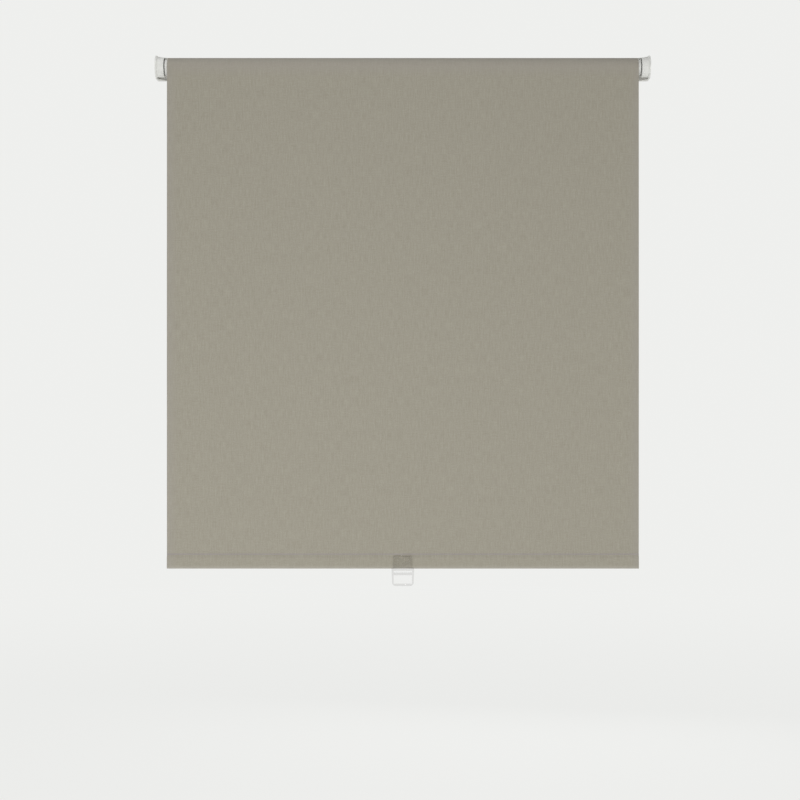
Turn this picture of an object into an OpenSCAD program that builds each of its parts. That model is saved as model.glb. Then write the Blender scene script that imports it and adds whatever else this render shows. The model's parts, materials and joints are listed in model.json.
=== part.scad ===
// Spring roller blind: a cloth wound on a spring-loaded tube between two moulded brackets,
// weighted by a bar in its hem and drawn down by a clear pull.
// +X runs along the roller to the right, +Y into the window, +Z up.
// The origin lies on the fixing face, midway between the brackets and level with the roller's axis.

/* [Cloth] */
// Width of the cloth
cloth_w = 856; // [600:1:1700]
// Thickness of the cloth
cloth_t = 0.36; // [0.3:0.02:0.5]
// Turns of cloth left on the tube
turns = 6.25; // [2.25:0.5:8.25]
// Air between two turns
turn_gap = 0.02; // [0.01:0.01:0.05]
// Hanging length from the roller's axis to the lower edge of the hem
hang_length = 912; // [300:1:1500]

/* [Hem] */
// Height of the hem from the top of its seam to its lower edge
hem_h = 27.4; // [22:0.2:45]
// Height of the seam
seam_h = 2.4; // [1.6:0.2:4]
// Height over which the pocket widens below the seam
pocket_taper = 6; // [5:0.5:8]
// Thickness of the bottom bar
bar_t = 3.6; // [2.4:0.2:5]
// Slack round the bar in its pocket
bar_slack = 0.15; // [0.1:0.05:0.4]
// How far the bar's ends stay inside the cloth's edges
bar_inset = 3; // [1:0.5:10]

/* [Tube] */
// Outside diameter of the roller tube
tube_d = 28; // [27:0.5:40]
// Wall of the tube
tube_wall = 1; // [0.6:0.1:1.4]
// Width of the key rib inside the tube
key_w = 2.4; // [1.6:0.2:4]
// Height of the key rib
key_h = 1.2; // [0.8:0.1:1.4]
// Width of the fixing tape round the tube
tape_w = 12; // [6:1:20]
// Thickness of the fixing tape
tape_t = 0.12; // [0.08:0.02:0.2]

/* [Brackets] */
// Distance from the fixing face to the roller's axis
axis_out = 30; // [28:0.5:45]
// Radius of the side plate's round front
plate_r = 21; // [20:0.5:26]
// Thickness of the bracket's plates
plate_t = 2.5; // [2:0.1:3.5]
// Width of the back plate
back_w = 32; // [30:1:50]
// Outside radius of the socket cap
cap_r = 18; // [15:0.5:18.5]
// Wall of the socket cap
cap_wall = 2; // [1.5:0.1:3]
// Depth of the socket cap
cap_depth = 13; // [11:0.5:18]
// Radius of the rounded lip of the cap
lip_r = 0.9; // [0.5:0.1:1.4]
// Radius of the socket's boss
boss_r = 7; // [5.5:0.5:9]
// Setback of the boss behind the mouth of the cap
boss_setback = 2.5; // [1.5:0.5:5]
// Thickness of the ribs and webs
rib_t = 1.6; // [1.2:0.1:2.4]
// Gap between the roller's end and the cap
end_gap = 1.5; // [1:0.1:3]
// Bore of the screw holes
screw_d = 4.5; // [3.5:0.5:5]
// Width of the screw holes' countersinks
sink_d = 8; // [6.5:0.5:9]
// Height between the two screws of a plate
screw_pitch = 26; // [22:1:28]
// Distance of the screws from the free edge of the back plate
screw_edge = 8; // [6:0.5:10]
// Distance of the side screws from the back plate
side_screw_edge = 7; // [5.5:0.5:8]

/* [End plugs] */
// Thickness of the plugs' flanges
flange_t = 5; // [3:0.5:8]
// Length of a plug inside the tube
plug_len = 28; // [26:1:45]
// Wall of a plug round its chamber
plug_wall = 2; // [1.8:0.1:2.6]
// Depth of the moulded recess in a flange's face
recess_d = 1.6; // [1:0.2:2.5]
// Width of the plain rims on both sides of the recess
recess_rim = 2; // [1.5:0.1:2.5]

/* [Spring motor] */
// Diameter of the fixed spindle
spindle_d = 6; // [5:0.2:6.4]
// Thickness of the spindle's flat tang
tang_t = 3; // [2:0.1:4]
// Outside diameter of the bush
bush_d = 9; // [8:0.5:11]
// Length of the bush
bush_len = 9; // [6:0.5:14]
// Outside diameter of the ratchet wheel
wheel_d = 12.4; // [11.6:0.2:12.8]
// Height of the ratchet's teeth
tooth_h = 1.5; // [1.1:0.1:1.6]
// Number of teeth
teeth = 6; // [6:2:8]
// Diameter of the cross pin in the wheel
cross_pin_d = 1.5; // [1:0.1:2]
// Width of the wheel and the pawls along the roller
pawl_w = 5.5; // [4:0.5:7]
// Radius of a pawl's eye
pawl_eye_r = 2; // [1.7:0.1:2.2]
// Width of a pawl's nose
pawl_nose_w = 2.6; // [2:0.1:3]
// Diameter of the pawls' pins
pawl_pin_d = 2; // [1.6:0.1:2.4]
// Depth of the pawl pins' seats in the plug
pawl_pin_seat = 5; // [3:0.5:8]
// Angle from a pawl's resting place to its notch
pawl_swing = 15; // [13:1:17]
// Thickness of the ratchet's cover
cover_t = 1.4; // [1:0.1:2]
// Diameter of the torsion spring's wire
wire_d = 1.6; // [1.2:0.1:2]
// Outside diameter of the torsion spring
spring_d = 16.4; // [15:0.2:20]
// Turns of the torsion spring
coils = 40; // [20:1:44]
// Advance of the torsion spring in one turn
coil_pitch = 3.4; // [2.4:0.1:5]
// Gap between the end plug and the spring's hub
hub_gap = 2; // [1:0.5:6]
// Thickness of the hub's flange
hub_flange_t = 3; // [2:0.5:5]
// Diameter of the hub's flange
hub_flange_d = 19; // [18:0.5:23]
// Length of the noses that hold the spring's ends
nose_len = 10; // [6:0.5:16]
// Length of the spring's anchor in the tube
anchor_len = 12; // [8:0.5:20]
// Thickness of the spindle's clip
clip_ring_t = 1; // [0.8:0.1:1.4]
// Diameter of the spindle's clip
clip_ring_d = 10; // [9:0.5:14]
// Width of the clip's mouth
clip_mouth = 3.6; // [3:0.1:4]
// Depth of the clip's groove in the spindle
groove_depth = 0.7; // [0.4:0.1:0.9]
// Length of the spindle beyond the clip
spindle_end = 2; // [1:0.5:6]

/* [Idle pin] */
// Diameter of the pin
pin_d = 6; // [4:0.2:8]
// Diameter of the pin's collar
collar_d = 10; // [9.5:0.5:14]
// Thickness of the pin's collar
collar_t = 3; // [2:0.2:5]
// Length of the pin's guide in the plug
guide_len = 8; // [6.5:0.5:10]
// Diameter of the pin spring's wire
pin_wire_d = 0.9; // [0.6:0.1:1]
// Outside diameter of the pin spring
pin_spring_d = 8.7; // [7.6:0.1:9]
// Turns of the pin spring
pin_coils = 7; // [5:1:9]
// Thickness of the pin spring's seat
seat_t = 2; // [1.4:0.2:3]
// Diameter of the spigots inside the pin spring
spigot_d = 4.4; // [3:0.2:4.8]
// Length of the pin's spigot
pin_spigot_len = 5; // [3:0.5:6]
// Length of the seat's spigot
seat_spigot_len = 2; // [1:0.5:2]

/* [Pull] */
// Width of the pull
pull_w = 41; // [38:0.5:55]
// Height of the pull below the hem
pull_h = 31.3; // [26:0.5:50]
// Narrowing of the pull towards its foot, on each side
pull_taper = 1; // [0:0.1:3]
// Radius of the pull's lower corners
pull_corner = 6; // [5:0.5:10]
// Width of the pull's rim
rim_w = 3.8; // [3:0.1:5]
// Thickness of the rim
rim_t = 4.4; // [3:0.1:6]
// Thickness of the clear panel inside the rim
panel_t = 1.4; // [1:0.1:2]
// Height of the bar under the hem
pull_bar_h = 3.6; // [3:0.1:5]
// Height of the slot between the bar and the cross rib
pull_slot_h = 3.6; // [2.5:0.1:5]
// Height of the cross rib
pull_rib_h = 4.5; // [3:0.1:6]
// Width of the plates that grip the hem
grip_w = 33.8; // [26:0.2:37]
// Height of the plates that grip the hem
grip_h = 23.6; // [15:0.2:26]
// Thickness of the plates that grip the hem
grip_t = 1.5; // [1.2:0.1:2.5]

/* [Clearances] */
// Radial gap of pieces pressed together
fit_gap = 0.03; // [0.02:0.01:0.05]
// Radial gap of turning shafts
run_gap = 0.05; // [0.03:0.01:0.08]
// Gap between pieces that pass each other
pass_gap = 0.4; // [0.3:0.05:0.5]
// Gap round the tang in its slot
slot_gap = 0.12; // [0.08:0.02:0.3]
// Gap beside the key rib
key_gap = 0.15; // [0.1:0.05:0.25]
// Gap between the pull's plates and the hem
grip_gap = 0.15; // [0.1:0.05:0.3]
// Gap between a pawl's nose and its notch
nose_gap = 0.15; // [0.1:0.05:0.2]
// Gap beyond the ends of the tang and the pin
end_float = 1; // [0.5:0.1:1.5]

/* [Hidden] */

$fn = 72;
// a cut runs this far past the face that it opens
past = 1;

cloth_colour = [0.61, 0.59, 0.54];
white = [0.86, 0.86, 0.84];
steel = [0.72, 0.73, 0.75];
aluminium = [0.80, 0.81, 0.82];
brass = [0.78, 0.66, 0.38];
nylon = [0.93, 0.92, 0.87];
clear = [0.86, 0.90, 0.93, 0.45];

// places along the roller, on its right-hand half
half = cloth_w / 2;
plug_out = half + flange_t;
plug_in = half - plug_len;
cap_x = plug_out + end_gap;
plate_x = cap_x + cap_depth;
out_x = plate_x + plate_t;
boss_x = cap_x + boss_setback;
rib_x = boss_x + boss_setback;
ribs = 6;

// radii of the tube and of what fits in it
tube_r = tube_d / 2;
tube_ir = tube_r - tube_wall;
plug_r = tube_ir - fit_gap;
chamber_r = plug_r - plug_wall;
key_top_r = tube_ir - key_h;
spindle_r = spindle_d / 2;
bush_r = bush_d / 2;
pin_r = pin_d / 2;

// the cloth's spiral; its last turn leaves the roll at the front, level with the axis
roll_facets = 40;
turn_pitch = cloth_t + turn_gap;
roll_in = (tube_r + fit_gap + tape_t) / cos(180 / roll_facets) + turn_gap;
roll_out = roll_in + turn_pitch * turns;
sheet_y = -(roll_out + cloth_t / 2);

// the hem's heights
hem_low = -hang_length;
hem_top = hem_low + hem_h;
cavity_half = bar_t / 2 + bar_slack;
pocket_half = cavity_half + cloth_t;
cavity_apex = hem_top - seam_h;
shoulder = cavity_apex - pocket_taper;
bar_low = hem_low + cloth_t + bar_slack;
bar_high = shoulder + bar_t / 2 - 2 * bar_slack;

// the ratchet
wheel_r = wheel_d / 2;
root_r = wheel_r - tooth_h;
cover_x = plug_in;
pawl_x = cover_x + cover_t + pass_gap;
chamber_end = pawl_x + pawl_w + pass_gap;
pawl_pin_r = pawl_pin_d / 2;
pivot_r = chamber_r - pawl_eye_r - pass_gap;
nose = [root_r + nose_gap, nose_gap];
pivot = [nose[0], sqrt(pow(pivot_r, 2) - pow(nose[0], 2))];
notch_turn = 90;
// the slope of a pawl's beak, in tooth heights, and where its arm leaves the eye
beak = tooth_h * [0.75, 1.5];
arm_angle = 12;

// the torsion spring between its hub and its anchor
spring_r = (spring_d - wire_d) / 2;
spring_facets = 14;
wire_facets = 5;
nose_r = (spring_d / 2 - wire_d) * cos(180 / spring_facets) - pass_gap / 2;
hub_x = plug_in - hub_gap - hub_flange_t;
spring_len = coils * coil_pitch + wire_d;
spring_x = hub_x - pass_gap - spring_len;
anchor_x = spring_x - pass_gap;
clip_x = anchor_x - anchor_len - pass_gap - clip_ring_t;
spindle_x = clip_x - spindle_end;
groove_r = spindle_r - groove_depth;

// the idle pin
pin_tip = plate_x - end_float;
room_r = collar_d / 2 + pass_gap;
collar_x = plug_out - guide_len - run_gap - collar_t;
seat_x = plug_in;
pin_spring_len = collar_x - seat_x - seat_t - 2 * run_gap;
pin_spring_facets = 12;

// the pull's levels below the hem
grip_inside = pocket_half + grip_gap;
grip_outside = grip_inside + grip_t;
bar_top = hem_low - grip_gap;
pull_low = hem_low - pull_h;
slot_top = bar_top - pull_bar_h;
rib_top = slot_top - pull_slot_h;
rib_low = rib_top - pull_rib_h;

// what is drawn in the XY plane stands across the roller, and its height runs along +X
module along_x(x) translate([x, 0, 0]) rotate([90, 0, 90]) children();

// what is drawn in the XY plane stands upright facing the room, and its height runs towards the room
module towards_room(y) translate([0, y, 0]) rotate([90, 0, 0]) children();

module at_axis() translate([0, -axis_out, 0]) children();

module at_sheet() translate([0, -axis_out + sheet_y, 0]) children();

module disc(r, t) cylinder(r = r, h = t);

module ring(r, bore, t) difference() {
    cylinder(r = r, h = t);
    translate([0, 0, -past]) cylinder(r = bore, h = t + 2 * past);
}

module rounded(w, h, r) {
    square([w - 2 * r, h], center = true);
    square([w, h - 2 * r], center = true);
    for (x = [-1, 1], y = [-1, 1])
        translate([x * (w / 2 - r), y * (h / 2 - r)]) circle(r = r);
}

// a wire wound from z = 0 upwards round the Z axis
module coil_of_wire(r, wire, turns_of_it, advance, facets, sides) {
    rings = turns_of_it * facets;
    points = [
        for (i = [0 : rings], j = [0 : sides - 1])
            let (a = 360 * i / facets, b = 360 * j / sides, reach = r + wire / 2 * cos(b))
                [reach * cos(a), reach * sin(a), wire / 2 + advance * i / facets + wire / 2 * sin(b)]
    ];
    walls = [
        for (i = [0 : rings - 1], j = [0 : sides - 1], half_of_it = [0, 1])
            let (k = (j + 1) % sides, low = i * sides, high = low + sides)
                half_of_it == 0 ? [low + j, high + j, low + k] : [low + k, high + j, high + k]
    ];
    first_end = [[for (j = [0 : sides - 1]) j]];
    last_end = [[for (j = [sides - 1 : -1 : 0]) rings * sides + j]];
    polyhedron(points = points, faces = concat(walls, first_end, last_end), convexity = 10);
}

// the brackets

module side_outline() {
    circle(r = plate_r);
    translate([0, -plate_r]) square([axis_out, 2 * plate_r]);
}

module back_outline() {
    corner = 4;
    translate([out_x - back_w / 2, 0]) rounded(back_w, 2 * plate_r, corner);
    translate([out_x - back_w / 2, -plate_r]) square([back_w / 2, 2 * plate_r]);
}

module socket_cap() rotate_extrude() {
    translate([cap_r - cap_wall, lip_r]) square([cap_wall, cap_depth - lip_r + plate_t / 2]);
    translate([cap_r - cap_wall, 0]) square([cap_wall - lip_r, 2 * lip_r]);
    translate([cap_r - lip_r, lip_r]) circle(r = lip_r);
}

module screw_hole(depth) {
    translate([0, 0, -past]) cylinder(d = screw_d, h = depth + 2 * past);
    sink = (sink_d - screw_d) / 2;
    translate([0, 0, depth - sink]) cylinder(d1 = screw_d, d2 = sink_d, h = sink);
    translate([0, 0, depth]) cylinder(d = sink_d, h = past);
}

// a corner web between the back plate and the side plate
module web() linear_extrude(rib_t) polygon([
    [out_x, axis_out], [out_x - back_w + screw_edge, axis_out],
    [plate_x, axis_out - plate_r], [out_x, axis_out - plate_r]
]);

module bracket_body() difference() {
    union() {
        along_x(plate_x) linear_extrude(plate_t) side_outline();
        towards_room(axis_out) linear_extrude(plate_t) back_outline();
        along_x(cap_x) socket_cap();
        along_x(boss_x) disc(boss_r, plate_x - boss_x + plate_t / 2);
        intersection() {
            along_x(rib_x) disc(cap_r - cap_wall / 2, plate_x - boss_x);
            for (a = [0 : 360 / ribs : 359])
                rotate([a, 0, 0])
                    translate([boss_x, boss_r - past, -rib_t / 2])
                        cube([plate_x - boss_x + plate_t / 2, cap_r, rib_t]);
        }
        translate([0, 0, plate_r - rib_t]) web();
        translate([0, 0, -plate_r]) web();
    }
    for (side = [-1, 1]) {
        translate([out_x - back_w + screw_edge, 0, side * screw_pitch / 2])
            towards_room(axis_out) screw_hole(plate_t);
        translate([0, axis_out - plate_t - side_screw_edge, side * screw_pitch / 2])
            mirror([1, 0, 0]) along_x(-out_x) screw_hole(plate_t);
    }
}

module left_bracket() color(white) at_axis() mirror([1, 0, 0]) difference() {
    bracket_body();
    along_x(boss_x - past) disc(pin_r + run_gap, plate_x - boss_x + past);
}

module right_bracket() color(white) at_axis() difference() {
    bracket_body();
    slot_w = tang_t + 2 * slot_gap;
    slot_h = spindle_d + 2 * slot_gap;
    translate([boss_x - past, -slot_w / 2, -slot_h / 2])
        cube([plate_x - boss_x + past, slot_w, slot_h]);
}

// the spring motor's fixed pieces

module spindle() color(steel) at_axis() difference() {
    union() {
        along_x(spindle_x) disc(spindle_r, cap_x - spindle_x);
        intersection() {
            along_x(cap_x - past) disc(spindle_r, plate_x - end_float - cap_x + past);
            translate([cap_x - past, -tang_t / 2, -spindle_r])
                cube([plate_x - cap_x, tang_t, spindle_d]);
        }
    }
    along_x(clip_x - run_gap) ring(spindle_r + past, groove_r, clip_ring_t + 2 * run_gap);
    translate([pawl_x + pawl_w / 2, 0, -spindle_r - past])
        cylinder(d = cross_pin_d + 2 * fit_gap, h = spindle_d + 2 * past);
}

// each tooth rises along a ramp and ends in a radial face
module wheel_outline() polygon([
    for (i = [0 : teeth - 1], tip = [0, 1])
        let (a = notch_turn + 360 * (i + tip) / teeth, r = tip == 0 ? root_r : wheel_r)
            [r * cos(a), r * sin(a)]
]);

module ratchet_wheel() color(nylon) at_axis() difference() {
    along_x(pawl_x) linear_extrude(pawl_w) difference() {
        wheel_outline();
        circle(r = spindle_r + fit_gap);
    }
    translate([pawl_x + pawl_w / 2, 0, -wheel_r - past])
        cylinder(d = cross_pin_d + 2 * fit_gap, h = wheel_d + 2 * past);
}

module wheel_pin() color(steel) at_axis()
    translate([pawl_x + pawl_w / 2, 0, -root_r + nose_gap])
        cylinder(d = cross_pin_d, h = 2 * (root_r - nose_gap));

module spring_hub() color(white) at_axis() difference() {
    union() {
        along_x(hub_x) disc(hub_flange_d / 2, hub_flange_t);
        along_x(hub_x - nose_len) disc(nose_r, nose_len + past);
    }
    along_x(hub_x - nose_len - past) disc(spindle_r + fit_gap, nose_len + hub_flange_t + 2 * past);
}

module spindle_clip() color(steel) at_axis() along_x(clip_x) linear_extrude(clip_ring_t) difference() {
    circle(d = clip_ring_d);
    circle(r = groove_r + fit_gap);
    translate([-clip_mouth / 2, -clip_ring_d]) square([clip_mouth, clip_ring_d]);
}

// the roller

module roller_tube() color(aluminium) at_axis() along_x(-half) linear_extrude(cloth_w) {
    difference() {
        circle(r = tube_r);
        circle(r = tube_ir);
    }
    // the key rib, rooted in the wall at the top
    translate([-key_w / 2, key_top_r]) square([key_w, key_h + tube_wall / 2]);
}

module key_slot(x, length) {
    slot_w = key_w + 2 * key_gap;
    translate([x - past, -slot_w / 2, key_top_r - key_gap])
        cube([length + 2 * past, slot_w, key_h + past]);
}

// the tape lies under the innermost end of the cloth
module fixing_tape() color("ivory") at_axis() along_x(-half) {
    inner = tube_r + fit_gap;
    span = tape_w / inner * 180 / PI;
    end_angle = 180 - 360 * (turns - floor(turns));
    rotate([0, 0, end_angle]) rotate_extrude(angle = span) translate([inner, 0]) square([tape_t, cloth_w]);
}

function spiral(inside, turn) =
    let (r = roll_out - turn_pitch * turn + (inside ? 0 : cloth_t), a = 360 * turn)
        [-r * cos(a), r * sin(a)];

module fabric_roll() color(cloth_colour) at_axis() along_x(-half) linear_extrude(cloth_w) {
    steps = round(turns * roll_facets);
    polygon(concat(
        [for (i = [0 : steps]) spiral(false, turns * i / steps)],
        [for (i = [steps : -1 : 0]) spiral(true, turns * i / steps)]
    ));
}

// a flange, a body that fills the tube and a slot for the tube's key
module plug_blank() difference() {
    union() {
        along_x(half) disc(tube_r, flange_t);
        along_x(plug_in) disc(plug_r, plug_len + past);
    }
    key_slot(plug_in, plug_len - past);
    difference() {
        along_x(plug_out - recess_d) ring(tube_r - recess_rim, bush_r + recess_rim, recess_d + past);
        for (a = [0 : 360 / ribs : 359])
            rotate([a + 180 / ribs, 0, 0])
                translate([plug_out - recess_d - past, 0, -rib_t / 2])
                    cube([recess_d + 3 * past, tube_r, rib_t]);
    }
}

module spring_end_plug() color(white) at_axis() difference() {
    plug_blank();
    along_x(plug_in - past) disc(chamber_r, chamber_end - plug_in + past);
    along_x(plug_in) disc(spindle_r + pass_gap, plug_len + flange_t + past);
    along_x(plug_out - bush_len) disc(bush_r + fit_gap, bush_len + past);
    for (turned = [notch_turn, notch_turn + 180])
        along_x(chamber_end - past) rotate(turned) translate(pivot)
            disc(pawl_pin_r + fit_gap, pawl_pin_seat + past);
}

module spindle_bush() color(brass) at_axis() along_x(plug_out - bush_len)
    ring(bush_r, spindle_r + run_gap, bush_len);

module ratchet_cover() color(white) at_axis() along_x(cover_x)
    ring(chamber_r - fit_gap, spindle_r + pass_gap, cover_t);

module pawl_pin(turned) color(steel) at_axis() along_x(cover_x + cover_t + fit_gap)
    rotate(turned) translate(pivot)
        disc(pawl_pin_r, chamber_end + pawl_pin_seat - cover_x - cover_t - 2 * fit_gap);

module upper_pawl_pin() pawl_pin(notch_turn);

module lower_pawl_pin() pawl_pin(notch_turn + 180);

// a hooked pawl, swung clear of the wheel about its pin
module pawl(turned) color(nylon) at_axis() along_x(pawl_x)
    rotate(turned) translate(pivot) rotate(pawl_swing) linear_extrude(pawl_w) difference() {
        union() {
            circle(r = pawl_eye_r);
            hook = nose - pivot;
            arm = pawl_eye_r * [cos(arm_angle), -sin(arm_angle)];
            polygon([hook, hook + [pawl_nose_w, 0], arm, [-arm[0], arm[1]], hook + beak]);
        }
        circle(r = pawl_pin_r + run_gap);
    }

module upper_pawl() pawl(notch_turn);

module lower_pawl() pawl(notch_turn + 180);

module spring_anchor() color(white) at_axis() difference() {
    union() {
        along_x(anchor_x - anchor_len) disc(plug_r, anchor_len);
        along_x(anchor_x - past) disc(nose_r, nose_len + past);
    }
    key_slot(anchor_x - anchor_len, anchor_len);
    along_x(anchor_x - anchor_len - past) disc(spindle_r + run_gap, anchor_len + nose_len + 2 * past);
}

module torsion_spring() color(steel) at_axis() along_x(spring_x)
    coil_of_wire(spring_r, wire_d, coils, coil_pitch, spring_facets, wire_facets);

// the idle end, drawn on the right and mirrored to the left

module idle_end_plug() color(white) at_axis() mirror([1, 0, 0]) difference() {
    plug_blank();
    along_x(plug_in - past) disc(room_r, plug_len + flange_t - guide_len + past);
    along_x(plug_in) disc(pin_r + run_gap, plug_len + flange_t + past);
}

module pin_spring_seat() color(white) at_axis() mirror([1, 0, 0]) {
    along_x(seat_x) disc(room_r - fit_gap, seat_t);
    along_x(seat_x) disc(spigot_d / 2, seat_t + seat_spigot_len);
}

module idle_pin() color(steel) at_axis() mirror([1, 0, 0]) {
    tip = 1;
    along_x(collar_x) disc(collar_d / 2, collar_t);
    along_x(collar_x) disc(pin_r, pin_tip - tip - collar_x);
    along_x(pin_tip - tip) cylinder(r1 = pin_r, r2 = pin_r - tip, h = tip);
    along_x(collar_x - pin_spigot_len) disc(spigot_d / 2, pin_spigot_len + past);
}

module idle_pin_spring() color(steel) at_axis() mirror([1, 0, 0]) along_x(seat_x + seat_t + run_gap)
    coil_of_wire((pin_spring_d - pin_wire_d) / 2, pin_wire_d, pin_coils,
        (pin_spring_len - pin_wire_d) / pin_coils, pin_spring_facets, wire_facets);

// the hanging cloth, its hem and what the hem carries

module fabric_drop() color(cloth_colour) at_sheet()
    translate([-half, -cloth_t / 2, hem_top]) cube([cloth_w, cloth_t, -hem_top]);

// half of the pocket's bottom, as points from the middle of the fold up to the side
function fold_of(r, low) = [for (a = [0 : 15 : 90]) [r * sin(a), low + r * (1 - cos(a))]];

function mirrored(points) = [for (i = [len(points) - 1 : -1 : 0]) [-points[i][0], points[i][1]]];

module hem_pocket() color(cloth_colour) at_sheet() along_x(-half) linear_extrude(cloth_w) {
    outer = concat(
        fold_of(pocket_half, hem_low),
        [[pocket_half, shoulder], [cloth_t, cavity_apex], [cloth_t, hem_top]]
    );
    inner = concat(fold_of(cavity_half, hem_low + cloth_t), [[cavity_half, shoulder]]);
    difference() {
        polygon(concat(outer, mirrored(outer)));
        polygon(concat(inner, [[0, cavity_apex]], mirrored(inner)));
    }
}

module bottom_bar() color(white) at_sheet() along_x(-half + bar_inset)
    linear_extrude(cloth_w - 2 * bar_inset)
        translate([0, (bar_low + bar_high) / 2]) {
            square([bar_t, bar_high - bar_low - bar_t], center = true);
            for (end = [bar_low + bar_t / 2, bar_high - bar_t / 2])
                translate([0, end - (bar_low + bar_high) / 2]) circle(d = bar_t);
        }

// the pull's face: straight at the top, with round lower corners, kept inside its edge by the inset
module pull_face(top, low, inset) {
    corner = max(pull_corner - inset, 1);
    tab = 1;
    hull() for (side = [-1, 1]) {
        translate([side * (pull_w - 2 * inset - tab) / 2, top - tab / 2]) square(tab, center = true);
        translate([side * (pull_w / 2 - pull_taper - inset - corner), low + corner])
            circle(r = corner, $fn = 32);
    }
}

module pull_handle() color(clear) at_sheet() {
    // the rim with its two recessed windows, and the thin panel that fills them
    face_top = slot_top + pull_bar_h / 2;
    towards_room(rim_t / 2) linear_extrude(rim_t) difference() {
        pull_face(face_top, pull_low, 0);
        intersection() {
            pull_face(slot_top, pull_low + rim_w, rim_w);
            union() {
                translate([-pull_w / 2, rib_top]) square([pull_w, pull_slot_h]);
                translate([-pull_w / 2, pull_low]) square([pull_w, rib_low - pull_low]);
            }
        }
    }
    towards_room(panel_t / 2) linear_extrude(panel_t)
        pull_face(face_top, pull_low + rim_w / 2, rim_w / 2);
    // the bar under the hem and the two plates that grip it
    translate([-pull_w / 2, -grip_outside, slot_top]) cube([pull_w, 2 * grip_outside, pull_bar_h]);
    for (side = [-1, 1])
        translate([-grip_w / 2, side * (grip_inside + grip_t / 2) - grip_t / 2, slot_top])
            cube([grip_w, grip_t, hem_low + grip_h - slot_top]);
}

left_bracket();
right_bracket();
spindle();
ratchet_wheel();
wheel_pin();
spring_hub();
spindle_clip();
roller_tube();
fixing_tape();
fabric_roll();
spring_end_plug();
spindle_bush();
ratchet_cover();
upper_pawl_pin();
lower_pawl_pin();
spring_anchor();
torsion_spring();
upper_pawl();
lower_pawl();
idle_end_plug();
pin_spring_seat();
idle_pin();
idle_pin_spring();
fabric_drop();
hem_pocket();
bottom_bar();
pull_handle();
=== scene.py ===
import json
import math

import bmesh
import bpy
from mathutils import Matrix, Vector, noise


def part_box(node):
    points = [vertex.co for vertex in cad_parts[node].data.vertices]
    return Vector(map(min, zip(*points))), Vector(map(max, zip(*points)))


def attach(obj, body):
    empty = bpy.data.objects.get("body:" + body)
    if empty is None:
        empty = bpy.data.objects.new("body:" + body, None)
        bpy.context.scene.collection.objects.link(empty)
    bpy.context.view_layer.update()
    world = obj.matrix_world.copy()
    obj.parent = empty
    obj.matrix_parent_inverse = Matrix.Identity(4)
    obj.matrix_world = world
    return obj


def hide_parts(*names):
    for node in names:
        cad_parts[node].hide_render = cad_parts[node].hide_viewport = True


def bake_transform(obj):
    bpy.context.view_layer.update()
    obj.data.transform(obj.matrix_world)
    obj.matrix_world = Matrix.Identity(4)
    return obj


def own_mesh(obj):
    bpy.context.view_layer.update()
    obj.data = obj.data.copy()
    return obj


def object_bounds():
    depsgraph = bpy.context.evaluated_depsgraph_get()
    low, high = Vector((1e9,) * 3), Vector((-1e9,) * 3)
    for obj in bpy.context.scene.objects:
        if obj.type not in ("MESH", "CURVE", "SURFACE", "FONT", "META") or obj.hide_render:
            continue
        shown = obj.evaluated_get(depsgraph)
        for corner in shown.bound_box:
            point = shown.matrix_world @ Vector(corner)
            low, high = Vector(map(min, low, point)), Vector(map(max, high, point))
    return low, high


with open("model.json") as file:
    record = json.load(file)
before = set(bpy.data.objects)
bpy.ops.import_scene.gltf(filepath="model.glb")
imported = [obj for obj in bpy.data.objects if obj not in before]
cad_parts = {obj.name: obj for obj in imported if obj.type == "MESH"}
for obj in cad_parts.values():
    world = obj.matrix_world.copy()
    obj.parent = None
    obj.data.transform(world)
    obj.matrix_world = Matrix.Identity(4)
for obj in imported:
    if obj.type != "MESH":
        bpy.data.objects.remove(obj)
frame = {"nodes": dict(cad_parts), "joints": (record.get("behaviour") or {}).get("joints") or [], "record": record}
cadBox = [list(corner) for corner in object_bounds()]  # the solids alone
record = frame["record"]
nodes = frame["nodes"]
joints = {joint["name"]: joint for joint in frame["joints"]}
slotOf = {part["node"]: part["material_slot"] for part in record["subparts"]}
bodyOf = {node: body for body, held in record["behaviour"]["bodies"].items() for node in held}
scene = bpy.context.scene
scene.view_settings.view_transform = "Standard"

# places that several pieces share, in metres
dropLow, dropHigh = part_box("fabric_drop")
hemLow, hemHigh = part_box("hem_pocket")
axleY = joints["roller_turn"]["pos_m"][1]
clothThick = dropHigh.y - dropLow.y
sheetY = (dropLow.y + dropHigh.y) / 2
clothLeft, clothRight = dropLow.x, dropHigh.x
clothWidth = clothRight - clothLeft
seamDrop = 0.0011  # from the top of the hem to its stitches
seamZ = hemHigh.z - seamDrop


# camera

cameraLook = {
    "pixels": 800,  # across the picture
    "metresPerPixel": 0.0018143,  # at the cloth
    "axlePixel": (402.85, 65.9),  # the middle of the roller's axis
    "distance": 3.4,  # from the cloth
    "shift": -0.04,
    "sensor": 36.0,
}


def addCamera(look):
    span = look["pixels"] * look["metresPerPixel"]
    aside = (look["pixels"] / 2 - look["axlePixel"][0]) * look["metresPerPixel"]
    middle = (look["axlePixel"][1] - look["pixels"] / 2) * look["metresPerPixel"]
    data = bpy.data.cameras.new("camera")
    data.sensor_width = look["sensor"]
    data.lens = look["sensor"] * look["distance"] / span
    data.shift_y = look["shift"]
    camera = bpy.data.objects.new("camera", data)
    camera.location = (aside, sheetY - look["distance"], middle - look["shift"] * span)
    camera.rotation_euler = (math.pi / 2, 0, 0)
    scene.collection.objects.link(camera)
    scene.camera = camera


addCamera(cameraLook)
print("camera set")


# shader sums

def fillInputs(tree, node, inputs):
    for key, value in inputs.items():
        if isinstance(value, Socket):
            tree.links.new(value.socket, node.inputs[key])
        else:
            node.inputs[key].default_value = value


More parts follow.
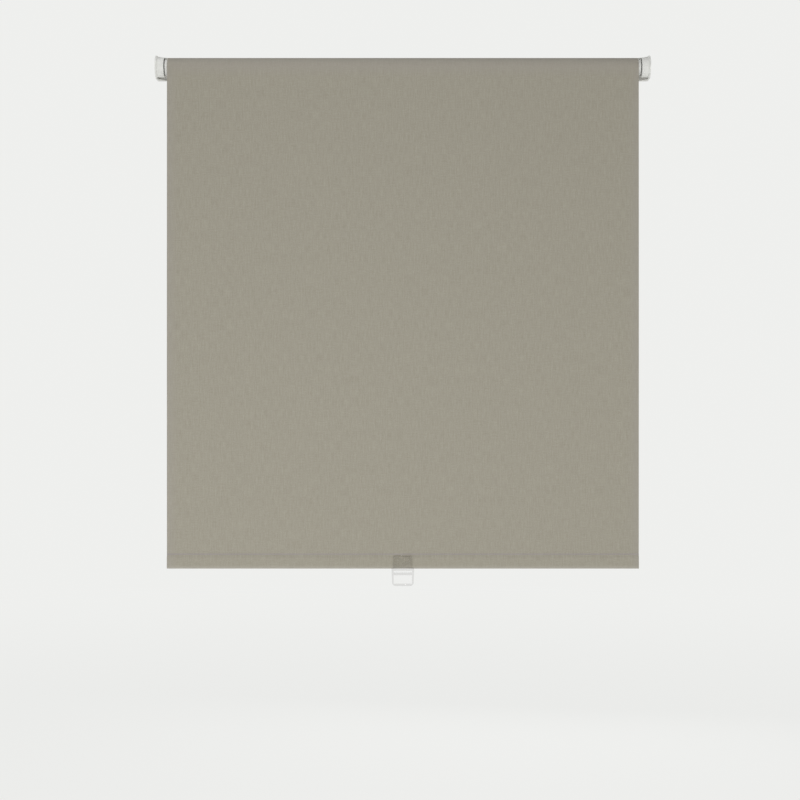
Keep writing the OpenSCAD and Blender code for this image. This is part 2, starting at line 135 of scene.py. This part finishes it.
class Socket:
    # a shader socket that takes part in Python sums
    def __init__(self, tree, socket=None):
        self.tree = tree
        self.socket = socket

    def node(self, kind, settings=None, inputs=None, output=0):
        made = self.tree.nodes.new("ShaderNode" + kind)
        for key, value in (settings or {}).items():
            setattr(made, key, value)
        fillInputs(self.tree, made, inputs or {})
        return Socket(self.tree, made.outputs[output])

    def maths(self, operation, first, second=0.0):
        return self.node("Math", {"operation": operation}, {0: first, 1: second})

    def __add__(self, other):
        return self.maths("ADD", self, other)

    def __sub__(self, other):
        return self.maths("SUBTRACT", self, other)

    def __rsub__(self, other):
        return self.maths("SUBTRACT", other, self)

    def __mul__(self, other):
        return self.maths("MULTIPLY", self, other)

    def __truediv__(self, other):
        return self.maths("DIVIDE", self, other)

    def __gt__(self, other):
        return self.maths("GREATER_THAN", self, other)

    def __lt__(self, other):
        return self.maths("LESS_THAN", self, other)

    def __abs__(self):
        return self.maths("ABSOLUTE", self)

    __radd__ = __add__
    __rmul__ = __mul__


def smaller(first, second):
    return first.maths("MINIMUM", first, second)


def larger(first, second):
    return first.maths("MAXIMUM", first, second)


def wave(value, length):
    return value.maths("SINE", value * (2 * math.pi / length))


def split(vector):
    parts = vector.node("SeparateXYZ", inputs={0: vector}).socket.node
    return [Socket(vector.tree, output) for output in parts.outputs]


def speckle(x, y, z, sizes, detail=2.0):
    # soft noise about 0, with cells of the given sizes along the three ways
    cells = x.node("CombineXYZ", inputs={0: x / sizes[0], 1: y / sizes[1], 2: z / sizes[2]})
    cloud = x.node("TexNoise", {"noise_dimensions": "3D"},
                   {"Vector": cells, "Scale": 1.0, "Detail": detail, "Roughness": 0.55})
    return cloud - 0.5


def near(value, reach, peak):
    # falls smoothly from the peak at 0 to nothing at the reach
    return value.node("MapRange", {"interpolation_type": "SMOOTHSTEP"},
                      {"Value": value, "From Max": reach, "To Min": peak, "To Max": 0.0})


def blendColours(amount, first, second):
    ends = [end if isinstance(end, Socket) else (*end, 1.0) for end in (first, second)]
    return amount.node("Mix", {"data_type": "RGBA", "clamp_factor": True},
                       {0: amount, 6: ends[0], 7: ends[1]}, output=2)


def reliefOf(height, depth, strength):
    return height.node("Bump", inputs={"Height": height, "Distance": depth, "Strength": strength})


def newFinish(name):
    material = bpy.data.materials.new(name)
    material.use_nodes = True
    tree = material.node_tree
    place = Socket(tree).node("TexCoord", output="Object")
    return material, tree.nodes["Principled BSDF"], split(place)


# cloth finish

clothLook = {
    "dark": (0.300, 0.279, 0.226),
    "pale": (0.372, 0.349, 0.290),
    "thread": 0.0006,  # from one thread to the next but one
    "warpSlub": (0.0022, 0.020),  # width and length of a thick stretch of thread
    "weftSlub": (0.016, 0.0016),
    "grain": 0.0020,
    "tones": {"warp": 1.4, "weft": 0.9, "grain": 1.6, "weave": 0.06},
    "reliefs": {"warp": 3.0, "weft": 2.0},
    "depth": 0.00010,
    "rollRadius": 0.0167,
    "edge": (0.345, 0.318, 0.288),  # greyer towards the cut edges and over the roll
    "edgeReach": 0.022,
    "edgePeak": 0.42,
    "seam": (0.300, 0.268, 0.285),
    "seamReach": 0.0017,
    "seamPeak": 0.9,
    "fold": (0.425, 0.400, 0.350),  # painted highlight: paler where the hem turns under, as if the fold caught light from below
    "foldReach": 0.0075,
    "foldPeak": 0.7,
}


def clothFinish(name, wound=False, hemmed=False):
    look = clothLook
    tones = look["tones"]
    reliefs = look["reliefs"]
    material, shader, (x, y, z) = newFinish(name)
    along = z
    if wound:
        along = look["rollRadius"] * x.maths("ARCTAN2", z, y - axleY)
    weave = wave(x, look["thread"]) * wave(along, look["thread"])
    # each noise has a layer of its own
    warp = speckle(x, along, 0.0, (*look["warpSlub"], 1.0))
    weft = speckle(x, along, 7.0, (*look["weftSlub"], 1.0))
    grain = speckle(x, along, 3.0, (look["grain"], look["grain"], 1.0), detail=3.0)
    tone = (0.5 + tones["warp"] * warp + tones["weft"] * weft
            + tones["grain"] * grain + tones["weave"] * weave)
    relief = weave + reliefs["warp"] * warp + reliefs["weft"] * weft
    fromEdge = smaller(clothRight - abs(x), 0.0 if wound else abs(z))
    colour = blendColours(tone, look["dark"], look["pale"])
    colour = blendColours(near(fromEdge, look["edgeReach"], look["edgePeak"]), colour, look["edge"])
    if hemmed:
        drawn = near(abs(z - seamZ), look["seamReach"], look["seamPeak"]) * (0.8 + 1.2 * grain)
        colour = blendColours(drawn, colour, look["seam"])
        # painted highlight along the bottom fold of the hem
        foldHighlight = near(z - hemLow.z, look["foldReach"], look["foldPeak"])
        colour = blendColours(foldHighlight, colour, look["fold"])
    fillInputs(material.node_tree, shader, {
        "Base Color": colour,
        "Roughness": 0.84 + 0.10 * grain,
        "Normal": reliefOf(relief, look["depth"], 0.5),
        "Specular IOR Level": 0.25,
        "Sheen Weight": 0.12,
        "Sheen Roughness": 0.6,
    })
    return material


# thread finish

threadLook = {
    "dark": (0.300, 0.268, 0.285),
    "pale": (0.420, 0.380, 0.400),
    "twist": 0.00045,
    "slope": 0.7,
    "cloud": 0.003,
    "depth": 0.00006,
}


def threadFinish(name, look):
    material, shader, (x, y, z) = newFinish(name)
    ply = wave(x + look["slope"] * z, look["twist"])
    cloud = speckle(x, y, z, (look["cloud"],) * 3)
    fillInputs(material.node_tree, shader, {
        "Base Color": blendColours(0.5 + 0.35 * ply + cloud, look["dark"], look["pale"]),
        "Roughness": 0.7 + 0.2 * cloud,
        "Normal": reliefOf(ply, look["depth"], 0.6),
        "Sheen Weight": 0.2,
    })
    return material


# clear finish of the pull

clearLook = {
    "rim": (0.79, 0.785, 0.785),
    "panel": (0.965, 0.962, 0.955),
    "grip": (0.88, 0.86, 0.835),
    # painted shade: dark lines along the grip plates' top and side edges, where clear plastic would bend the light
    "gripEdge": (0.62, 0.60, 0.57),
    "edgeSide": 0.0009,
    "edgeTop": 0.0018,
    "rimWidth": 0.0038,
    "bars": [(0.00015, 0.00375), (0.00735, 0.01185)],  # top bar and rib, below the hem's fold
    "flow": 0.012,
    "depth": 0.0003,
    "alpha": {"panel": 0.16, "thick": 0.66, "grip": 0.04, "gripEdge": 0.12},  # each adds to the panel
}


def clearFinish(name, look):
    material, shader, (x, y, z) = newFinish(name)
    low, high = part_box("pull_handle")
    flow = speckle(x, y, z, (look["flow"],) * 3)
    offMiddle = abs(x)
    # the two grip plates over the hem, and painted shade along their top and side edges
    corners = [corner.co for corner in nodes["pull_handle"].data.vertices]
    gripHalf = max(corner.x for corner in corners if corner.z > hemLow.z)
    grip = z > hemLow.z
    atSide = offMiddle > gripHalf - look["edgeSide"]
    atTop = z > high.z - look["edgeTop"]
    gripEdge = grip * larger(atSide, atTop)
    # the thick rim and bars are duller than the thin panel
    beside = (offMiddle > high.x - look["rimWidth"]) * (1 - grip)
    thick = larger(beside, z < low.z + look["rimWidth"])
    for top, bottom in look["bars"]:
        offBar = abs(z - (hemLow.z - (top + bottom) / 2))
        thick = larger(thick, offBar < (bottom - top) / 2)
    colour = blendColours(thick + 0.3 * flow, look["panel"], look["rim"])
    colour = blendColours(grip, colour, look["grip"])
    colour = blendColours(gripEdge, colour, look["gripEdge"])
    alphas = look["alpha"]
    alpha = alphas["panel"] + alphas["thick"] * thick + alphas["grip"] * grip + alphas["gripEdge"] * gripEdge
    fillInputs(material.node_tree, shader, {
        "Base Color": colour,
        "Roughness": 0.03 + 0.08 * thick + 0.05 * flow,
        "Alpha": alpha,
        "Normal": reliefOf(flow, look["depth"], 0.15),
        "Transmission Weight": 1.0,
        "IOR": 1.49,
    })
    return material


# moulded and metal finishes

def mouldedFinish(name, look):
    material, shader, (x, y, z) = newFinish(name)
    flow = speckle(x, y, z, (look["flow"],) * 3)
    grain = speckle(x, y, z, (look["grain"],) * 3, detail=4.0)
    fillInputs(material.node_tree, shader, {
        "Base Color": blendColours(0.5 + 1.6 * flow, look["dark"], look["pale"]),
        "Roughness": look["roughness"] + 0.25 * flow + 0.10 * grain,
        "Normal": reliefOf(grain, look["grain"] * 0.2, 0.25),
        "IOR": 1.5,
    })
    return material


def metalFinish(name, look):
    material, shader, (x, y, z) = newFinish(name)
    lines = speckle(x, y, z, look["lines"], detail=3.0)
    cloud = speckle(x, y, z, (look["cloud"],) * 3)
    fillInputs(material.node_tree, shader, {
        "Base Color": blendColours(0.5 + 1.2 * lines + 0.6 * cloud, look["dark"], look["pale"]),
        "Metallic": 1.0,
        "Roughness": look["roughness"] + 0.35 * lines + 0.15 * cloud,
        "Normal": reliefOf(lines, look["depth"], 0.4),
    })
    return material


finishes = {
    "cloth": clothFinish("taupe weave"),
    "woundCloth": clothFinish("taupe weave on the roll", wound=True),
    "hemmedCloth": clothFinish("taupe weave at the hem", hemmed=True),
    "thread": threadFinish("hem thread", threadLook),
    "clear_plastic": clearFinish("clear moulding", clearLook),
    "white_plastic": mouldedFinish("white moulding", {
        "dark": (0.70, 0.70, 0.675), "pale": (0.78, 0.78, 0.755),
        "roughness": 0.40, "flow": 0.018, "grain": 0.0004}),
    "nylon": mouldedFinish("natural nylon", {
        "dark": (0.74, 0.71, 0.62), "pale": (0.82, 0.80, 0.72),
        "roughness": 0.55, "flow": 0.006, "grain": 0.0003}),
    "tape": mouldedFinish("cloth tape", {
        "dark": (0.66, 0.62, 0.51), "pale": (0.78, 0.75, 0.66),
        "roughness": 0.75, "flow": 0.004, "grain": 0.0006}),
    "aluminium": metalFinish("extruded aluminium", {
        "dark": (0.62, 0.63, 0.65), "pale": (0.78, 0.79, 0.81),
        "roughness": 0.36, "lines": (0.25, 0.0006, 0.0006), "cloud": 0.012, "depth": 0.00003}),
    "steel": metalFinish("drawn steel", {
        "dark": (0.46, 0.47, 0.49), "pale": (0.64, 0.65, 0.67),
        "roughness": 0.28, "lines": (0.03, 0.0004, 0.0004), "cloud": 0.012, "depth": 0.00003}),
    "brass": metalFinish("turned brass", {
        "dark": (0.58, 0.43, 0.19), "pale": (0.76, 0.60, 0.32),
        "roughness": 0.30, "lines": (0.0003, 0.004, 0.004), "cloud": 0.012, "depth": 0.00003}),
}
for node, slot in slotOf.items():
    nodes[node].data.materials.clear()
    nodes[node].data.materials.append(finishes[slot])
print("finishes made:", len(finishes))


# meshes

def addPiece(name, form, finish, sharpAngle=35.0):
    mesh = bpy.data.meshes.new(name)
    bmesh.ops.recalc_face_normals(form, faces=form.faces)
    form.to_mesh(mesh)
    form.free()
    mesh.shade_smooth()
    mesh.set_sharp_from_angle(angle=math.radians(sharpAngle))
    mesh.materials.append(finishes[finish])
    piece = bpy.data.objects.new(name, mesh)
    scene.collection.objects.link(piece)
    return piece


def standFor(piece, node):
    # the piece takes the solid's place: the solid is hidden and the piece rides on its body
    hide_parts(node)
    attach(piece, bodyOf[node])


def spaced(low, high, steps):
    return [low + (high - low) * step / steps for step in range(steps + 1)]


def easeIn(share):
    return share * share * (3 - 2 * share)


def bothSides(path, thick):
    # the two faces of a strip whose middle follows the path
    outer = []
    inner = []
    for index, (y, z) in enumerate(path):
        before = path[max(index - 1, 0)]
        after = path[min(index + 1, len(path) - 1)]
        way = Vector((after[0] - before[0], after[1] - before[1])).normalized()
        aside = Vector((way.y, -way.x)) * thick / 2
        outer.append((y + aside.x, z + aside.y))
        inner.append((y - aside.x, z - aside.y))
    return outer, inner


def tube(form, rings):
    # walls between rings of points, and a lid on each end
    for here, there in zip(rings, rings[1:]):
        for side in range(len(here)):
            after = (side + 1) % len(here)
            form.faces.new((here[side], here[after], there[after], there[side]))
    form.faces.new(rings[0])
    form.faces.new(rings[-1])


def flat(x, z):
    return 0.0


def clothStrip(name, outer, inner, columns, finish, nudge=flat):
    # a strip with that section, as wide as the cloth
    ring = [*outer, *reversed(inner)]
    size = len(ring)
    form = bmesh.new()
    verts = []
    for x in spaced(clothLeft, clothRight, columns):
        verts.append([form.verts.new((x, y + nudge(x, z), z)) for y, z in ring])
    for here, there in zip(verts, verts[1:]):
        for index in range(size):
            after = (index + 1) % size
            form.faces.new((here[index], here[after], there[after], there[index]))
    for end in (verts[0], verts[-1]):
        for index in range(len(outer) - 1):
            form.faces.new((end[index], end[index + 1], end[size - 2 - index], end[size - 1 - index]))
    return addPiece(name, form, finish)


# cloth on the roll

rollLook = {
    "start": 0.00018,  # in turns, so that the roll's end clears the hanging cloth
    "turns": 6.25,
    "air": 0.00002,  # between one turn and the next
    "stepsPerTurn": 96,
    "columns": 8,
}


def rollSection(look):
    outer = []
    inner = []
    radius = axleY - sheetY - clothThick / 2
    count = round(look["turns"] * look["stepsPerTurn"])
    for turn in spaced(look["start"], look["turns"], count):
        angle = 2 * math.pi * turn
        inside = radius - (clothThick + look["air"]) * turn
        for side, reach in ((inner, inside), (outer, inside + clothThick)):
            side.append((axleY - reach * math.cos(angle), reach * math.sin(angle)))
    return outer, inner


rollOuter, rollInner = rollSection(rollLook)
rollCloth = clothStrip("roll_cloth", rollOuter, rollInner, rollLook["columns"], "woundCloth")
standFor(rollCloth, "fabric_roll")


# hanging cloth

hangLook = {"columns": 64, "rows": 2, "curl": 0.0012}


def edgeCurl(x, z):
    # the cloth's long edges lean into the room a little, halfway down
    share = abs(2 * x / clothWidth)
    halfway = 1 - abs(2 * (z - dropLow.z) / (dropHigh.z - dropLow.z) - 1)
    return -hangLook["curl"] * share ** 6 * halfway


hangRows = spaced(dropHigh.z, dropLow.z, hangLook["rows"])
hangFront = [(dropLow.y, z) for z in hangRows]
hangBack = [(dropHigh.y, z) for z in hangRows]
hangCloth = clothStrip("hanging_cloth", hangFront, hangBack, hangLook["columns"], "cloth", edgeCurl)
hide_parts("fabric_drop")
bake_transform(hangCloth)
print("hanging cloth made")


# hem

hemLook = {
    "seam": 0.0024,  # height of the stitched band
    "taper": 0.006,  # from the band to the full width of the pocket
    "turnUp": 0.0006,  # the cut edge lies this far below the top of the seam
    "layer": 0.52,  # each layer's distance from the middle of the seam, in thicknesses
    "columns": 214,
    "pucker": 0.00012,
    "puckerLength": 0.010,
    "puckerReach": 0.006,
}


def hemPath(look):
    # down the front, round the fold and up the back
    layer = clothThick * look["layer"]
    belly = (hemHigh.y - hemLow.y) / 2 - clothThick / 2
    top = hemHigh.z
    seamLow = top - look["seam"]
    foldZ = hemLow.z + belly + clothThick / 2
    front = [(-layer * easeIn(share), top - look["turnUp"] * share) for share in spaced(0, 1, 4)]
    side = [(-layer, (top + seamLow) / 2)]
    for share in spaced(0, 1, 10):
        side.append((-layer - (belly - layer) * easeIn(share), seamLow - look["taper"] * share))
    side += [(-belly, z) for z in spaced(side[-1][1], foldZ, 6)[1:]]
    turns = spaced(0, math.pi, 20)[1:-1]
    fold = [(-belly * math.cos(angle), foldZ - belly * math.sin(angle)) for angle in turns]
    back = [(-y, z) for y, z in reversed(side)]
    cut = [(layer, top - look["turnUp"])]
    return [(sheetY + y, z) for y, z in [*front, *side, *fold, *back, *cut]]


def pucker(x, z):
    # the stitched line draws the cloth in unevenly
    look = hemLook
    atSeam = math.exp(-((z - hemHigh.z + look["seam"]) / look["puckerReach"]) ** 2)
    belowTop = easeIn(min(max((hemHigh.z - z) / look["turnUp"], 0.0), 1.0))
    uneven = noise.noise(Vector((x / look["puckerLength"], 0.3, 0.7)))
    return look["pucker"] * atSeam * belowTop * uneven


hemOuter, hemInner = bothSides(hemPath(hemLook), clothThick)
hemCloth = clothStrip("hem_cloth", hemOuter, hemInner, hemLook["columns"], "hemmedCloth", pucker)
standFor(hemCloth, "hem_pocket")


# stitches along the hem

stitchLook = {
    "pitch": 0.0032,
    "gap": 0.0005,
    "thick": 0.00036,
    "slant": 0.00010,
    "tip": 0.08,  # how full the ends are
    "lift": 0.6,  # of the middle, in thicknesses
    "sink": 0.35,
    "sides": 6,
    "rings": 6,
}


def stitchRow(form, look, facing):
    face = sheetY + facing * clothThick * 1.02
    count = int(clothWidth / look["pitch"])
    length = look["pitch"] - look["gap"]
    first = (clothLeft + clothRight - count * look["pitch"] + look["gap"]) / 2
    for stitch in range(count):
        rings = []
        for share in spaced(0.0, 1.0, look["rings"]):
            swell = math.sin(math.pi * (look["tip"] + (1 - 2 * look["tip"]) * share))
            x = first + stitch * look["pitch"] + length * share
            y = face + pucker(x, seamZ) + facing * look["thick"] * (look["lift"] * swell - look["sink"])
            z = seamZ + look["slant"] * (2 * share - 1) * facing
            reach = look["thick"] / 2 * (0.5 + 0.5 * swell)
            ring = []
            for side in range(look["sides"]):
                angle = 2 * math.pi * side / look["sides"]
                ring.append(form.verts.new((x, y + reach * math.cos(angle), z + reach * math.sin(angle))))
            rings.append(ring)
        tube(form, rings)


stitchForm = bmesh.new()
for facing in (-1, 1):
    stitchRow(stitchForm, stitchLook, facing)
stitching = addPiece("hem_stitching", stitchForm, "thread", sharpAngle=60.0)
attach(stitching, "hem")
print("stitches made")


# springs

motorSpringLook = {"wire": 0.0016, "coils": 40, "stepsPerCoil": 28, "sides": 8, "hand": 1}
pinSpringLook = {"wire": 0.0009, "coils": 7, "stepsPerCoil": 28, "sides": 8, "hand": -1}


def coilPiece(name, node, look):
    # a round wire wound about the roller's axis, as long and as wide as the solid
    low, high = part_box(node)
    wire = look["wire"]
    radius = (high.z - low.z) / 2 - wire / 2
    count = look["coils"] * look["stepsPerCoil"]
    form = bmesh.new()
    rings = []
    for step in range(count + 1):
        angle = look["hand"] * 2 * math.pi * step / look["stepsPerCoil"]
        middle = low.x + wire / 2 + (high.x - low.x - wire) * step / count
        ring = []
        for side in range(look["sides"]):
            around = 2 * math.pi * side / look["sides"]
            reach = radius + wire / 2 * math.cos(around)
            x = middle + wire / 2 * math.sin(around)
            ring.append(form.verts.new((x, axleY + reach * math.cos(angle), reach * math.sin(angle))))
        rings.append(ring)
    tube(form, rings)
    coil = addPiece(name, form, slotOf[node])
    standFor(coil, node)
    return coil


coilPiece("motor_spring", "torsion_spring", motorSpringLook)
pinSpring = coilPiece("pin_spring", "idle_pin_spring", pinSpringLook)
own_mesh(pinSpring)
print("springs made")


# mouldings and turned pieces

softLook = {
    "weld": 1e-6,
    "flatAngle": 0.5,  # degrees, faces flatter than this are joined
    "creaseAngle": 30,  # degrees, sharper edges are rounded
    "pieces": {  # the solid, the radius of its edges and the steps round them
        "left_bracket_moulding": ("left_bracket", 0.0004, 2),
        "right_bracket_moulding": ("right_bracket", 0.0004, 2),
        "idle_plug_moulding": ("idle_end_plug", 0.0004, 2),
        "spring_plug_moulding": ("spring_end_plug", 0.0004, 2),
        "clear_pull": ("pull_handle", 0.0006, 3),
        "weight_bar": ("bottom_bar", 0.0005, 2),
        "ratchet_wheel_moulding": ("ratchet_wheel", 0.0002, 2),
        "spring_hub_moulding": ("spring_hub", 0.0003, 2),
        "ratchet_cover_moulding": ("ratchet_cover", 0.0003, 2),
        "spring_anchor_moulding": ("spring_anchor", 0.0003, 2),
        "pin_seat_moulding": ("pin_spring_seat", 0.0003, 2),
        "turned_bush": ("spindle_bush", 0.0002, 2),
        "upper_pawl_moulding": ("upper_pawl", 0.00025, 2),
        "lower_pawl_moulding": ("lower_pawl", 0.00025, 2),
        "turned_pin": ("idle_pin", 0.0002, 2),
    },
}


def softened(name, node, radius, steps, look):
    # the solid with its edges rounded as a mould or a lathe leaves them
    form = bmesh.new()
    form.from_mesh(nodes[node].data)
    bmesh.ops.remove_doubles(form, verts=form.verts, dist=look["weld"])
    bmesh.ops.dissolve_limit(form, angle_limit=math.radians(look["flatAngle"]),
                             verts=form.verts, edges=form.edges)
    sharp = math.radians(look["creaseAngle"])
    creases = [edge for edge in form.edges if edge.is_manifold and edge.calc_face_angle() > sharp]
    bmesh.ops.bevel(form, geom=creases, offset=radius, offset_type="OFFSET", segments=steps,
                    profile=0.5, affect="EDGES", clamp_overlap=True)
    piece = addPiece(name, form, slotOf[node])
    standFor(piece, node)
    print(name, len(piece.data.polygons), "faces")


for name, (node, radius, steps) in softLook["pieces"].items():
    softened(name, node, radius, steps, softLook)


# studio

stageLook = {
    "pale": (0.86, 0.865, 0.85),
    "ambient": 0.45,
    "floorGap": 0.08,  # below the pull at its lowest
    "floorHalf": 12.0,
    "floorGlow": 0.92,
    "fade": (1.5, 5.0),
    "lamps": [  # a mirrored lamp shows in gloss, and none shows through the clear pull
        {"name": "front lamp", "place": (-0.78, -1.5, -1.0), "size": 1.0, "power": 7.7},
        {"name": "side lamp", "place": (1.4, -1.6, -0.8), "size": 0.9, "power": 6.9},
        {"name": "fill lamp", "place": (0.0, -3.0, -0.8), "size": 1.0, "power": 18.0},
        {"name": "top lamp", "place": (-0.5, -0.55, 1.25), "size": 1.2, "power": 6.2, "mirrored": True},
        {"name": "back lamp", "place": (0.4, 2.0, -0.3), "size": 1.6, "power": 23.0},
    ],
}


def seenRay(start):
    # 1 where the camera, a reflection or clear plastic looks at the stage
    rays = start.node("LightPath").socket.node.outputs
    kinds = ("Is Camera Ray", "Is Glossy Ray", "Is Transmission Ray")
    camera, glossy, through = (Socket(start.tree, rays[kind]) for kind in kinds)
    return larger(larger(camera, glossy), through)


def addWorld(look):
    world = bpy.data.worlds.new("studio")
    world.use_nodes = True
    scene.world = world
    tree = world.node_tree
    fillInputs(tree, tree.nodes["Background"], {
        "Color": (*look["pale"], 1.0),
        "Strength": look["ambient"] + (1 - look["ambient"]) * seenRay(Socket(tree)),
    })


def addFloor(look):
    reach = look["floorHalf"]
    lowest = cadBox[0][2] + joints["drop"]["range_m"][0] - look["floorGap"]
    corners = [(-reach, -reach), (reach, -reach), (reach, reach), (-reach, reach)]
    mesh = bpy.data.meshes.new("floor")
    mesh.from_pydata([(x, y, lowest) for x, y in corners], [], [(0, 1, 2, 3)])
    floor = bpy.data.objects.new("floor", mesh)
    scene.collection.objects.link(floor)
    material, shader, (x, y, z) = newFinish("pale floor")
    tree = material.node_tree
    away = x.maths("SQRT", x * x + y * y)
    fade = away.node("MapRange", {"interpolation_type": "SMOOTHSTEP"},
                     {"Value": away, "From Min": look["fade"][0], "From Max": look["fade"][1]})
    glow = away.node("Emission", inputs={"Color": (*look["pale"], 1.0)})
    fillInputs(tree, shader, {"Base Color": (*look["pale"], 1.0), "Roughness": 0.9})
    amount = seenRay(away) * (look["floorGlow"] + (1 - look["floorGlow"]) * fade)
    surface = away.node("MixShader", inputs={0: amount, 1: Socket(tree, shader.outputs[0]), 2: glow})
    tree.links.new(surface.socket, tree.nodes["Material Output"].inputs["Surface"])
    mesh.materials.append(material)


def addLamps(look):
    aim = Vector((0, sheetY, (cadBox[0][2] + cadBox[1][2]) / 2))
    for lamp in look["lamps"]:
        data = bpy.data.lights.new(lamp["name"], "AREA")
        data.size = lamp["size"]
        data.energy = lamp["power"]
        light = bpy.data.objects.new(lamp["name"], data)
        light.location = lamp["place"]
        light.visible_transmission = False
        light.visible_glossy = lamp.get("mirrored", False)
        light.rotation_euler = (aim - Vector(lamp["place"])).to_track_quat("-Z", "Y").to_euler()
        scene.collection.objects.link(light)


addWorld(stageLook)
addFloor(stageLook)
addLamps(stageLook)
print("studio lit")
